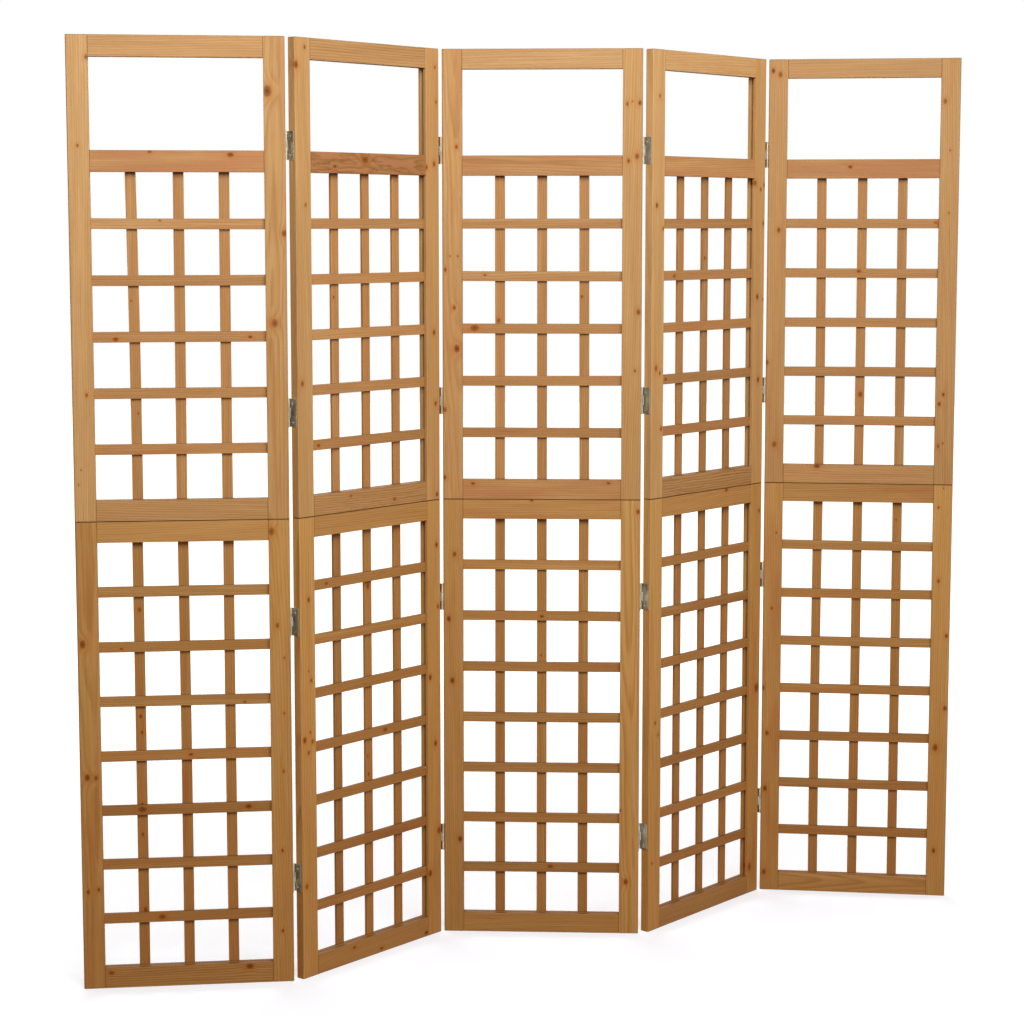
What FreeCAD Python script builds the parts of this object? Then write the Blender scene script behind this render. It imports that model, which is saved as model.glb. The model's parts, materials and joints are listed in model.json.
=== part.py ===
"""Five-panel folding room divider, in millimetres.

Each panel is two open wooden frames, one standing on the other. A frame's stiles and rails are
grooved along their inner edges, and the rails have stub tenons. Its trellis has two layers:
horizontal slats held in the stile grooves, and vertical slats glued behind them. Four steel butt
hinges join each pair of neighbours.
"""
import FreeCAD, Part
import math
import os

Vector = FreeCAD.Vector

# Panels
PANEL_WIDTH = 400.0
HALF_HEIGHT = 900.0
THICKNESS = 20.0

# Frame timber
STILE_WIDTH = 40.0
RAIL_HEIGHT = 40.0
WINDOW_HEIGHT = 170.0
GROOVE_WIDTH = 6.0
GROOVE_DEPTH = 8.0
GROOVE_FRONT = (THICKNESS - GROOVE_WIDTH) / 2
TENON_LENGTH = 7.5
EDGE_CHAMFER = 1.0

# Trellis
SLAT_WIDTH = 20.0
SLAT_THICKNESS = 6.0
VERTICAL_SLATS = 3
UPPER_HORIZONTAL_SLATS = 5
LOWER_HORIZONTAL_SLATS = 7

# Dowels that hold an upper frame on a lower one
DOWEL_RADIUS = 4.0
DOWEL_LENGTH = 60.0
DOWEL_HOLE_DEPTH = 31.0

# Butt hinges
PANEL_GAP = 3.75
PIN_PROUD = 2.2
HINGE_HEIGHT = 54.0
HINGE_INSET = 200.0
KNUCKLES = 3
KNUCKLE_GAP = 0.3
BARREL_RADIUS = 2.5
PIN_RADIUS = 1.2
RUNNING_CLEARANCE = 0.05
LEAF_THICKNESS = 1.2
LEAF_COVER = 16.0
LEAF_SETBACK = 0.75

# Countersunk screw holes, two in each leaf
SEAT_DISTANCE = 9.0
SEAT_RADIUS = 2.9

# The pins are round. There are so many hinges and dowels that their other round parts are drawn
# with flats: the barrels with twelve, and the bores, screw holes and dowels with eight
BARREL_SIDES = 12
SMALL_SIDES = 8

# How far each joint is folded from flat as the screen stands, from left to right, and whether
# it is a ridge, with its hinge pins behind the panels, or a valley, with them in front
FOLD_ANGLES = (43.0, 52.5, 52.5, 57.0)
RIDGES = (True, False, True, False)
MIDDLE_PANEL = 2

INNER_WIDTH = PANEL_WIDTH - 2 * STILE_WIDTH
OPENING_WIDTH = (INNER_WIDTH - VERTICAL_SLATS * SLAT_WIDTH) / (VERTICAL_SLATS + 1)


def prism(outline, low, high):
    """A closed outline of (x, y) points, raised from one height to another."""
    points = [Vector(x, y, low) for x, y in outline]
    face = Part.Face(Part.makePolygon(points + points[:1]))
    return face.extrude(Vector(0, 0, high - low))


def rectangle(x0, x1, y0, y1):
    """The four corners of an upright rectangle in plan."""
    return [(x0, y0), (x1, y0), (x1, y1), (x0, y1)]


def round_outline(radius, sides, centre=(0, 0)):
    """The corners of a regular polygon in plan that stands for a circle."""
    angles = [2 * math.pi * (i + 0.5) / sides for i in range(sides)]
    return [(centre[0] + radius * math.cos(a), centre[1] + radius * math.sin(a)) for a in angles]


def mirrored(shape, plane_x):
    """The shape reflected left to right about an upright plane."""
    return shape.mirror(Vector(plane_x, 0, 0), Vector(1, 0, 0))


def chamfered(width, height):
    """A rectangle from the origin with its four corners cut off."""
    c = EDGE_CHAMFER
    return [
        (c, 0), (width - c, 0), (width, c), (width, height - c),
        (width - c, height), (c, height), (0, height - c), (0, c),
    ]


def stile(base):
    """A left stile, whose groove opens towards the middle of the panel."""
    timber = prism(chamfered(STILE_WIDTH, THICKNESS), base, base + HALF_HEIGHT)
    bottom = STILE_WIDTH - GROOVE_DEPTH
    back = GROOVE_FRONT + GROOVE_WIDTH
    groove = rectangle(bottom, STILE_WIDTH, GROOVE_FRONT, back)
    return timber.cut(prism(groove, base, base + HALF_HEIGHT))


def rail(z, faces_up):
    """A rail at this height of its lower edge, with its groove in the upper or lower edge.

    The groove runs through the stub tenon at each end, and leaves it that much lower.
    """
    section = [Vector(STILE_WIDTH, y, z + h) for h, y in chamfered(RAIL_HEIGHT, THICKNESS)]
    face = Part.Face(Part.makePolygon(section + section[:1]))
    body = face.extrude(Vector(INNER_WIDTH, 0, 0))
    left = STILE_WIDTH - TENON_LENGTH
    middle = rectangle(left, PANEL_WIDTH - left, GROOVE_FRONT, GROOVE_FRONT + GROOVE_WIDTH)
    bottom = z + RAIL_HEIGHT - GROOVE_DEPTH if faces_up else z
    groove = prism(middle, bottom, bottom + GROOVE_DEPTH)
    return body.fuse(prism(middle, z, z + RAIL_HEIGHT)).cut(groove).removeSplitter()


def dowel_axis():
    """Where a left stile's dowel stands in plan: midway between outer edge and groove."""
    return (STILE_WIDTH - GROOVE_DEPTH) / 2, THICKNESS / 2


def dowel_bar(half_length):
    """A bar of the dowel's section in a left stile, reaching equally above and below the seam."""
    section = round_outline(DOWEL_RADIUS, SMALL_SIDES, dowel_axis())
    return prism(section, HALF_HEIGHT - half_length, HALF_HEIGHT + half_length)


def stiles(base):
    """The two stiles of a frame that stands at this height, with a dowel hole at the seam."""
    left = stile(base).cut(dowel_bar(DOWEL_HOLE_DEPTH))
    return [left, mirrored(left, PANEL_WIDTH / 2)]


def vertical_slats(low, high):
    """The back layer of the trellis, between two rails."""
    front = GROOVE_FRONT + GROOVE_WIDTH
    back = front + SLAT_THICKNESS
    pitch = OPENING_WIDTH + SLAT_WIDTH
    slats = []
    for i in range(VERTICAL_SLATS):
        left = STILE_WIDTH + OPENING_WIDTH + i * pitch
        slats.append(prism(rectangle(left, left + SLAT_WIDTH, front, back), low, high))
    return slats


def horizontal_slats(low, high, count):
    """The front layer of the trellis, spaced evenly between two rails, with its ends in the grooves."""
    left = STILE_WIDTH - TENON_LENGTH
    outline = rectangle(left, PANEL_WIDTH - left, GROOVE_FRONT, GROOVE_FRONT + SLAT_THICKNESS)
    opening = (high - low - count * SLAT_WIDTH) / (count + 1)
    slats = []
    for i in range(count):
        z = low + opening + i * (opening + SLAT_WIDTH)
        slats.append(prism(outline, z, z + SLAT_WIDTH))
    return slats


def frame_pieces(base, rail_heights, slat_count):
    """One frame: its stiles, its rails from the bottom up, and a trellis above the lowest rail.

    The lowest rail's groove faces up, and those of the others face down.
    """
    low = rail_heights[0] + RAIL_HEIGHT
    high = rail_heights[1]
    return {
        "stiles": stiles(base),
        "rails": [rail(z, z == base) for z in rail_heights],
        "vertical_slats": vertical_slats(low, high),
        "horizontal_slats": horizontal_slats(low, high, slat_count),
    }


def lower_frame():
    """The frame that stands on the floor: trellis from rail to rail."""
    return frame_pieces(0, [0, HALF_HEIGHT - RAIL_HEIGHT], LOWER_HORIZONTAL_SLATS)


def upper_frame():
    """The frame above it: a trellis, then an open window under the top rail."""
    top = 2 * HALF_HEIGHT - RAIL_HEIGHT
    middle = top - WINDOW_HEIGHT - RAIL_HEIGHT
    return frame_pieces(HALF_HEIGHT, [HALF_HEIGHT, middle, top], UPPER_HORIZONTAL_SLATS)


def dowels():
    """Two dowels across the seam, one in each pair of stiles."""
    left = dowel_bar(DOWEL_LENGTH / 2)
    return [left, mirrored(left, PANEL_WIDTH / 2)]


def knuckle_spans(first):
    """The heights of every second knuckle of a hinge, counted from the bottom."""
    length = (HINGE_HEIGHT - (KNUCKLES - 1) * KNUCKLE_GAP) / KNUCKLES
    step = length + KNUCKLE_GAP
    return [(i * step, i * step + length) for i in range(first, KNUCKLES, 2)]


def screw_seats():
    """The two countersunk holes of a left leaf, which taper towards the wood at 45 degrees."""
    face = LEAF_THICKNESS - PANEL_GAP / 2
    y = (BARREL_RADIUS + LEAF_SETBACK + PIN_PROUD + LEAF_COVER) / 2
    seats = []
    for z in (SEAT_DISTANCE, HINGE_HEIGHT - SEAT_DISTANCE):
        rings = []
        for depth in (0, LEAF_THICKNESS):
            outline = round_outline(SEAT_RADIUS - depth, SMALL_SIDES, (y, z))
            points = [Vector(face - depth, *point) for point in outline]
            rings.append(Part.makePolygon(points + points[:1]))
        seats.append(Part.makeLoft(rings, True, True))
    return seats


def left_leaf(first, play):
    """A leaf on the left of its pin, whose axis is the Z axis: the panels lie towards +Y.

    The plate lies on the left panel's edge and stays clear of the other leaf's knuckles;
    a neck joins it to each knuckle of its own. The flats of the bore stand off the pin by the
    play, and hold it where there is none.
    """
    outer = -PANEL_GAP / 2
    inner = outer + LEAF_THICKNESS
    root = BARREL_RADIUS + LEAF_SETBACK
    leaf = prism(rectangle(outer, inner, root, PIN_PROUD + LEAF_COVER), 0, HINGE_HEIGHT)
    for low, high in knuckle_spans(first):
        neck = prism(rectangle(outer, inner, 0, root), low, high)
        barrel = prism(round_outline(BARREL_RADIUS, BARREL_SIDES), low, high)
        leaf = leaf.fuse([neck, barrel])
    bore_radius = (PIN_RADIUS + play) / math.cos(math.pi / SMALL_SIDES)
    bore = prism(round_outline(bore_radius, SMALL_SIDES), 0, HINGE_HEIGHT)
    return leaf.cut(bore).removeSplitter().cut(screw_seats())


def gripping_side():
    """The left leaf with the outer knuckles, and the pin that they grip."""
    pin = Part.makeCylinder(PIN_RADIUS, HINGE_HEIGHT)
    return {"hinge_leaves": left_leaf(0, 0), "hinge_pins": pin}


def turning_side():
    """The right leaf, whose middle knuckle turns on the pin."""
    return {"hinge_leaves": mirrored(left_leaf(1, RUNNING_CLEARANCE), 0)}


def hinge_heights():
    """The lower ends of a joint's four hinges: one near each end of each frame."""
    centres = []
    for base in (0, HALF_HEIGHT):
        centres += [base + HINGE_INSET, base + HALF_HEIGHT - HINGE_INSET]
    return [z - HINGE_HEIGHT / 2 for z in centres]


def turned(point, heading):
    """A plan point turned about the Z axis, in degrees."""
    a = math.radians(heading)
    return Vector(
        point[0] * math.cos(a) - point[1] * math.sin(a),
        point[0] * math.sin(a) + point[1] * math.cos(a),
        0,
    )


def panel_headings():
    """Which way each panel's width runs in plan. The middle panel runs along X."""
    headings = [0.0]
    for fold, ridge in zip(FOLD_ANGLES, RIDGES):
        headings.append(headings[-1] + (fold if ridge else -fold))
    return [h - headings[MIDDLE_PANEL] for h in headings]


def pin_line(ridge):
    """How far a hinge pin is from the front face: behind the back face, or in front."""
    return THICKNESS + PIN_PROUD if ridge else -PIN_PROUD


def layout():
    """The front left foot of every panel and the place of every hinge line, centred in plan."""
    headings = panel_headings()
    feet = [Vector(0, 0, 0)]
    pivots = []
    for i, ridge in enumerate(RIDGES):
        y = pin_line(ridge)
        pivot = feet[i] + turned((PANEL_WIDTH + PANEL_GAP / 2, y), headings[i])
        pivots.append(pivot)
        feet.append(pivot - turned((-PANEL_GAP / 2, y), headings[i + 1]))
    corners = []
    for foot, heading in zip(feet, headings):
        corners += [foot + turned(c, heading) for c in rectangle(0, PANEL_WIDTH, 0, THICKNESS)]
    centre = Vector(
        (min(c.x for c in corners) + max(c.x for c in corners)) / 2,
        (min(c.y for c in corners) + max(c.y for c in corners)) / 2,
        0,
    )
    return headings, [f - centre for f in feet], [p - centre for p in pivots]


def placed(shape, position, heading):
    """A copy of the shape, turned about its own Z axis and set down at this position."""
    copy = shape.copy()
    copy.Placement = FreeCAD.Placement(
        position, FreeCAD.Rotation(Vector(0, 0, 1), heading)
    ).multiply(shape.Placement)
    return copy


def write(name, solids):
    """Writes one node, a group of separate solids, and prints what it holds."""
    group = Part.makeCompound(solids)
    group.exportStep(f"parts/{name}.step")
    litres = group.Volume / 1e6
    print(f"{name}: {len(group.Solids)} solids, {litres:.4f} l, valid {group.isValid()}")


def write_panels(headings, feet):
    """Every panel's timber: the same frames, set down at each panel's foot."""
    frames = {"lower": lower_frame(), "upper": upper_frame()}
    for number, (foot, heading) in enumerate(zip(feet, headings), start=1):
        for half, pieces in frames.items():
            for piece, solids in pieces.items():
                write(f"panel_{number}_{half}_{piece}", [placed(s, foot, heading) for s in solids])
        write(f"panel_{number}_dowels", [placed(s, foot, heading) for s in dowels()])


def hinge_groups(headings, pivots):
    """The hinge pieces of all joints, by the node that holds them.

    A ridge's hinge is turned half round, because its pin is behind the panels. So there the side
    that grips the pin is on the right panel, and in a valley it is on the left one.
    """
    groups = {}
    for i, (pivot, ridge) in enumerate(zip(pivots, RIDGES)):
        half_turn = 180 if ridge else 0
        panels = (i + 1, i) if ridge else (i, i + 1)
        for panel, side in zip(panels, (gripping_side(), turning_side())):
            for piece, solid in side.items():
                group = groups.setdefault(f"panel_{panel + 1}_{piece}", [])
                for z in hinge_heights():
                    foot = pivot + Vector(0, 0, z)
                    group.append(placed(solid, foot, headings[panel] + half_turn))
    return groups


os.makedirs("parts", exist_ok=True)
HEADINGS, FEET, PIVOTS = layout()
write_panels(HEADINGS, FEET)
for node, solids in hinge_groups(HEADINGS, PIVOTS).items():
    write(node, solids)
for index, (foot, heading) in enumerate(zip(FEET, HEADINGS), start=1):
    print(f"panel {index} stands at {foot.x:.4f}, {foot.y:.4f}, heading {heading:.1f} degrees")
for index, pivot in enumerate(PIVOTS, start=1):
    print(f"hinge line {index}-{index + 1} is at {pivot.x:.4f}, {pivot.y:.4f}")
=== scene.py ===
# %% [markdown]
# # A folding trellis screen
#
# The real object is five light wooden panels that stand in a zigzag, joined by steel butt hinges.
# A panel is nothing but boards: stiles, rails and two layers of thin slats. So this lesson builds
# one good board, with eased edges and with the growth rings of the log that it was sawn from, and
# uses it for all of them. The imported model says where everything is.

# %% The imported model
import json

import bpy
import numpy as np
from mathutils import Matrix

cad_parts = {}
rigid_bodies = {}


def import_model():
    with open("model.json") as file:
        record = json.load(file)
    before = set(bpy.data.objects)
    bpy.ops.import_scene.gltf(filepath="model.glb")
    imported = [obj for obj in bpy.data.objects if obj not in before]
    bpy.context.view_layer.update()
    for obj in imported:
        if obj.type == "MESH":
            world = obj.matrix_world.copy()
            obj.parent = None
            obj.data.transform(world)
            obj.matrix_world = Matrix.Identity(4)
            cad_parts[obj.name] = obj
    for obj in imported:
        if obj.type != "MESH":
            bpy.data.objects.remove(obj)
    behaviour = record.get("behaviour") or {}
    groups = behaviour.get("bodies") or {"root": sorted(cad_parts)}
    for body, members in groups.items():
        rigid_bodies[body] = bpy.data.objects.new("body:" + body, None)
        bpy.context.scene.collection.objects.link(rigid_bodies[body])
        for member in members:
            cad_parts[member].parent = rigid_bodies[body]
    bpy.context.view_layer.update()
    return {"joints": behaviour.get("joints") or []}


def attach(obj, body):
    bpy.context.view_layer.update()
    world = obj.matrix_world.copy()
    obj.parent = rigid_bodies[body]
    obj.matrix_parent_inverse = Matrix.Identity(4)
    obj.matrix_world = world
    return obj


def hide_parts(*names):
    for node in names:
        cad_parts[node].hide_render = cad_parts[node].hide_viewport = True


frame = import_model()
MM = 0.001

# %% [markdown]
# ## The camera
#
# The photographer stood a little right of the middle, eyes at one and a half metres, four and a
# half metres away, and looked slightly left and down. Stiles that stay upright in the picture need
# vertical lens shift. Only a little is used, so that other views aren't pushed off their frame.
# These values come from fitting the corners of the five panels.

# %% Camera
LENS = 80.63
PLACE = (0.1559, -4.5814, 1.458)
LEFT = np.radians(2.724)
DOWN = np.radians(6.195)

camera_data = bpy.data.cameras.new("camera")
camera_data.lens = LENS
camera_data.sensor_width = 36.0
camera_data.shift_y = -0.04
camera = bpy.data.objects.new("camera", camera_data)
camera.location = PLACE
camera.rotation_euler = (np.pi / 2 - DOWN, 0.0, LEFT)
bpy.context.scene.collection.objects.link(camera)
bpy.context.scene.camera = camera
print("camera at", PLACE, "with a lens of", LENS, "mm")

# %% [markdown]
# ## Where the panels stand
#
# Every panel has the same boards, so they are worked out once, in the panel's own frame: x runs
# along its width from the left, y from its front face to its back, and z upwards. Where a panel
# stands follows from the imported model's joints. A joint's lower limit is where its two panels lie
# flat, so it says how far they are folded now. The middle panel's width runs along the x axis, and
# a hinge line is half a gap beside a panel, and a little behind or in front of it.

# %% Panels
WIDTH = 400.0
HALF = 900.0
THICK = 20.0
TIMBER = 40.0
SLAT = 20.0
SLAT_THICK = 6.0
GROOVE = (7.0, 13.0)
GROOVE_DEPTH = 8.0
TENON = 7.5
WINDOW = 170.0
GAP = 3.75
PIN_PROUD = 2.2
MIDDLE_PANEL = 3
RIDGES = (1, 3)  # the joints whose pins are behind, by the panel on their left


def spin(vectors, heading):
    """Vectors turned about the z axis by the heading, in degrees."""
    c, s = np.cos(np.radians(heading)), np.sin(np.radians(heading))
    return vectors @ np.array([[c, s, 0], [-s, c, 0], [0, 0, 1]])


def stand(points, x, y, heading):
    """Points turned about the z axis and then moved to the foot (x, y)."""
    return spin(points, heading) + np.array([x, y, 0.0])


def foot_of(panel, heading):
    """A panel's front left foot: a hinge line, less the way from the foot to that line."""
    joint = max(panel - 1, 1)
    pin_x = WIDTH + GAP / 2 if joint == panel else -GAP / 2
    pin_y = THICK + PIN_PROUD if joint in RIDGES else -PIN_PROUD
    return HINGE_LINES[joint] - spin(np.array([pin_x, pin_y, 0.0]), heading)[:2]


HINGE_LINES = {}
folds = [0.0]
for joint in frame["joints"]:
    left = min(int(joint[side].split("_")[1]) for side in ("parent", "child"))
    HINGE_LINES[left] = np.array(joint["pos_m"][:2]) / MM
    fold = -joint["range_deg"][0]
    folds.append(fold if left in RIDGES else -fold)
headings = np.cumsum(folds)
headings -= headings[MIDDLE_PANEL - 1]
PANELS = {i: (*foot_of(i, heading), heading) for i, heading in enumerate(headings, start=1)}
for panel, (x, y, heading) in PANELS.items():
    print(f"panel {panel} stands at {x:.2f}, {y:.2f} mm, turned {heading:.1f} degrees")

# %% [markdown]
# ## A shell of faces
#
# A board is a profile carried along a path: rings of points, one behind the other, with a skin of
# quads between them and a cap at each end. Real edges are eased with a pass of sandpaper. Two
# points at each corner are enough for that if the light is told the truth: the normals at the two
# points are those of the flats beside them, and what lies between shades as a round edge. A
# stile's outer arrises are rounded most, and its inner ones hardly, because rails meet it there.
# Stiles and rails are milled alike, with a groove along the inner edge.

# %% Lofts
class Shell:
    """Rings of points joined by quads, collected until they become one piece of the object."""

    def __init__(self):
        self.points = []
        self.faces = []
        self.normals = []
        self.marks = {}
        self.face_marks = {}
        self.count = 0

    def loft(self, rings, normals=None, marks=None, face_marks=None, tube=False):
        """Adds rings of shape (m, n, 3), and their skin.

        Face (i, j) joins points j and j+1 of rings i and i+1, and j+1 wraps round to 0. A tube's
        last ring is joined to its first, and otherwise each end gets a cap. Normals, where given,
        have shape (m-1, n, 4, 3), one for each corner of each face. Without them the rings are
        turned round where the signed volume, a sum of corner products, says that they face inwards.
        Marks have a value for each point, and face marks one for each of the m-1 steps.
        """
        m, n, _ = rings.shape
        if normals is None:
            wrap = np.concatenate([rings, rings[:1]]) if tube else rings
            a, b, c = wrap[:-1], np.roll(wrap[:-1], -1, axis=1), wrap[1:]
            middle = rings.mean((0, 1))
            if np.sum(np.cross(b - a, c - a) * (a - middle)) < 0:
                rings = rings[:, ::-1]
        index = np.arange(m * n).reshape(m, n) + self.count
        if tube:
            index = np.concatenate([index, index[:1]])
        ahead = np.roll(index, -1, axis=1)
        quads = np.stack([index[:-1], ahead[:-1], ahead[1:], index[1:]], -1).reshape(-1, 4)
        self.faces += quads.tolist()
        if not tube:
            self.faces.append(index[0][::-1].tolist())
            self.faces.append(index[-1].tolist())
        if normals is not None:
            axis = rings[-1].mean(0) - rings[0].mean(0)
            axis /= np.linalg.norm(axis)
            self.normals += [normals.reshape(-1, 3), np.tile(-axis, (n, 1)), np.tile(axis, (n, 1))]
        self.points.append(rings.reshape(-1, 3))
        for name, values in (marks or {}).items():
            values = np.broadcast_to(values, rings.shape)
            self.marks.setdefault(name, []).append(values.reshape(-1, 3))
        for name, values in (face_marks or {}).items():
            values = np.concatenate([np.repeat(values, n, axis=0), values[[0, -1]]])
            self.face_marks.setdefault(name, []).append(values)
        self.count += m * n

    def piece(self, name, body, replaces=(), slot=None, material=None):
        """Makes the mesh, in metres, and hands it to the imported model's body."""
        mesh = bpy.data.meshes.new(name)
        mesh.from_pydata(np.concatenate(self.points) * MM, [], self.faces)
        mesh.shade_smooth()
        for domain, marks in (("POINT", self.marks), ("FACE", self.face_marks)):
            for mark, values in marks.items():
                layer = mesh.attributes.new(mark, "FLOAT_VECTOR", domain)
                layer.data.foreach_set("vector", np.concatenate(values).astype(np.float32).ravel())
        if self.normals:
            mesh.normals_split_custom_set(np.concatenate(self.normals))
        else:
            mesh.set_sharp_from_angle(angle=np.radians(35))
        mesh.materials.append(material)
        thing = bpy.data.objects.new(name, mesh)
        bpy.context.scene.collection.objects.link(thing)
        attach(thing, body)
        if replaces:
            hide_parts(*replaces)
        return thing


def offset(corners, distance):
    """Right-angled corners of shape (k, 2), anticlockwise, moved inwards from both their edges."""
    along = np.roll(corners, -1, axis=0) - corners
    along /= np.linalg.norm(along, axis=1, keepdims=True)
    out = np.stack([along[:, 1], -along[:, 0]], -1)
    return corners - distance * (out + np.roll(out, 1, axis=0))


def eased(corners, radius):
    """A section with each corner drawn as two points, and the normals at each edge's two ends.

    Corner k becomes P - r * (direction before) and P + r * (direction after), so edges are in turn
    a short bevel, from the normal before to the normal after, and a flat with one normal. The
    radius is one number, or one for each corner.
    """
    radius = np.broadcast_to(radius, len(corners))[:, None]
    along = np.roll(corners, -1, axis=0) - corners
    along /= np.linalg.norm(along, axis=1, keepdims=True)
    before = np.roll(along, 1, axis=0)
    out = np.stack([along[:, 1], -along[:, 0]], -1)
    out_before = np.roll(out, 1, axis=0)
    points = np.stack([corners - radius * before, corners + radius * along], 1).reshape(-1, 2)
    first = np.stack([out_before, out], 1).reshape(-1, 2)
    last = np.stack([out, out], 1).reshape(-1, 2)
    return points, first, last


# A tenon's distances from the board's outer edge, its groove's bottom and the mortise's cheeks
TENON_SHOULDER = 1.2
TENON_PLAY = 0.2
TENON_CHEEK = 0.1
TENON_STEP = 0.6


def rectangle(half_across, half_depth):
    """Four corners about the origin, anticlockwise."""
    signs = np.array([[-1, -1], [1, -1], [1, 1], [-1, 1]], float)
    return signs * [half_across, half_depth]


def grooved(half_across, half_depth):
    """Eight corners about the origin, with the groove on the side of +across."""
    bottom = half_across - GROOVE_DEPTH
    g = (GROOVE[1] - GROOVE[0]) / 2
    a, d = half_across, half_depth
    return np.array([[-a, -d], [a, -d], [a, -g], [bottom, -g], [bottom, g], [a, g], [a, d], [-a, d]])


def tongued(half_across):
    """The section of a grooved board's tenon, which ends at the bottom of the board's own groove.

    Six of its corners lie along that end, so that each has a partner in the board's section.
    """
    edge = half_across - TENON_SHOULDER
    end = half_across - GROOVE_DEPTH - TENON_PLAY
    d = (GROOVE[1] - GROOVE[0]) / 2 - TENON_CHEEK
    steps = np.array([-d, TENON_STEP - d, 2 * TENON_STEP - d])
    depths = np.concatenate([[-d], steps, -steps[::-1], [d]])
    return np.column_stack([[-edge, *[end] * 6, -edge], depths])


def flipped(corners):
    """The same section with its sides changed over."""
    return corners[::-1] * [-1, 1]


# How far each corner of a grooved section is rounded, in the order of grooved()
STILE_EASE = np.array([2.4, 0.7, 0.5, 0.3, 0.3, 0.5, 0.7, 2.4])
RAIL_EASE = np.array([1.0, 0.7, 0.5, 0.3, 0.3, 0.5, 0.7, 1.0])
print("a stile's section has", len(eased(grooved(TIMBER / 2, THICK / 2), STILE_EASE)[0]), "points")

# %% [markdown]
# ## A board from a log
#
# Grain is a solid pattern, so every board remembers where it was in its log. Three marks travel
# with the mesh: `here` is the place in the board, across, deep and along from its centre, `half`
# is half its size, and `log` is the place in the log, whose heart is the z axis. A board sawn far
# out to one side shows straight lines. One sawn flat, with the log's heart behind its face, shows
# arches, because the heart is never quite parallel to the saw.

# %% Boards
END_EASE = 0.7
END_ROUNDING = 0.8  # of the roundings along the board, the share left at its drawn-in ends
TENON_EASE = 0.2
KNOT_MARKS = ("knot_1", "knot_2", "knot_3")
FAR_AWAY = (0.0, 9000.0, 1.0)


def sawn(rng, flat):
    """Where a board lay in its log: a turn, the heart's distance and its slope, in millimetres."""
    turn = rng.uniform(-0.25, 0.25) + (0 if flat else np.pi / 2)
    side = rng.uniform(-9, 9) if flat else rng.uniform(-14, 14)
    far = rng.uniform(22, 48) if flat else rng.uniform(38, 80)
    slope = rng.uniform(0.008, 0.026, 2) * rng.choice([-1, 1], 2)
    return turn, side, far, slope, rng.uniform(0, 4000)


def in_log(place, cut):
    """The log's coordinates of places (across, deep, along): a turn, a shift and a lean."""
    turn, side, far, slope, start = cut
    across, deep, along = np.moveaxis(place, -1, 0)
    x = across * np.cos(turn) - deep * np.sin(turn) + slope[0] * along + side
    y = across * np.sin(turn) + deep * np.cos(turn) + slope[1] * along + far
    return np.stack([x, y, along + start], -1)


def tipped(flat, lean):
    """Section normals tipped towards the board's axis: lean 0 is square to it, and 1 along it."""
    square = flat[None] * (1 - np.abs(lean))[:, None, None]
    along = np.broadcast_to(lean[:, None, None], square.shape[:2] + (1,))
    return np.concatenate([square, along], -1)


def nearest_knots(knots, stations):
    """For each step between stations, the three knots that matter most to it, shape (3, m-1, 3).

    A knot matters less with the distance from the step to it, counted in its own radii.
    """
    table = np.array(list(knots) + [FAR_AWAY] * len(KNOT_MARKS))
    low, high = np.array(stations[:-1])[:, None], np.array(stations[1:])[:, None]
    gap = np.maximum(0, np.maximum(low - table[:, 1], table[:, 1] - high)) / table[:, 2]
    order = np.argsort(gap, axis=1, kind="stable")[:, :len(KNOT_MARKS)]
    return np.moveaxis(table[order], 1, 0)


def board(shell, panel, box, tone, rng, corners=rectangle, ease=1.0, steps=4, flat=False,
          tenon=0.0, bow=(0.0, 0.0), flip=False, knots=(), stain=(1.0, 1.0, 1.0)):
    """Adds one board of a panel. The box is (x0, x1, y0, y1, z0, z1) in the panel's frame.

    The path runs along the box's longer way, z in an upright board and x in a level one. The
    rings at both ends are drawn in by the easing, and a tenon is two more rings beyond its
    shoulder. With s from -1 to 1 along the path, the middle line swings sideways by
    lean * s / 2 + bow * (1 - s * s). A knot is (side, along, radius), measured from the board's
    lower left corner.
    """
    low, high = np.array(box, float).reshape(3, 2).T
    centre = (low + high) / 2
    size = (high - low) / 2
    upright = size[2] > size[0]
    half = size if upright else size[[2, 1, 0]]
    outline = corners(half[0], half[1])
    tongue = tongued(half[0])
    ease = np.broadcast_to(ease, len(outline))
    if flip:
        outline, tongue, ease = flipped(outline), flipped(tongue), ease[::-1]
    section, first, last = eased(outline, ease)
    end, _, _ = eased(offset(outline, END_EASE), ease * END_ROUNDING)
    stations = [(-half[2], end)]
    leans = [(-1, 0)]
    if tenon:
        tongue, _, _ = eased(tongue, TENON_EASE)
        stations = [(-half[2] - tenon, tongue), (-half[2], tongue)] + stations
        leans = [(0, 0), (-1, -1)] + leans
    inner = [(s * (half[2] - END_EASE), section) for s in np.linspace(-1, 1, steps + 1)]
    stations = stations + inner + [(-where, ring) for where, ring in stations[::-1]]
    leans = leans + [(0, 0)] * steps + [(-b, -a) for a, b in leans[::-1]]
    along = np.array([where for where, _ in stations])
    here = np.array([np.column_stack([ring, np.full(len(ring), where)]) for where, ring in stations])
    s = along / half[2]
    place = here + (bow[0] * s / 2 + bow[1] * (1 - s * s))[:, None, None] * [1, 0, 0]
    near, far = np.array(leans, float).T
    normals = [tipped(first, near), tipped(last, near), tipped(last, far), tipped(first, far)]
    normals = np.stack(normals, 2)
    if not upright:
        place = place[..., [2, 1, 0]] * [1, 1, -1]
        normals = normals[..., [2, 1, 0]] * [1, 1, -1]
    side = 1 if upright else -1
    knots = [(side * (k[0] - half[0]), k[1] - half[2], k[2]) for k in knots]
    # the half's tint, a mark of painted shade, travels with the mesh too
    marks = {"here": here * MM, "half": half * MM, "log": in_log(here, sawn(rng, flat)) * MM,
             "tone": tone, "stain": np.array(stain)}
    found = nearest_knots(knots, along)
    face_marks = {name: table * MM for name, table in zip(KNOT_MARKS, found)}
    normals /= np.linalg.norm(normals, axis=-1, keepdims=True)
    foot = PANELS[panel]
    shell.loft(stand(place + centre, *foot), spin(normals, foot[2]), marks, face_marks)


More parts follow.
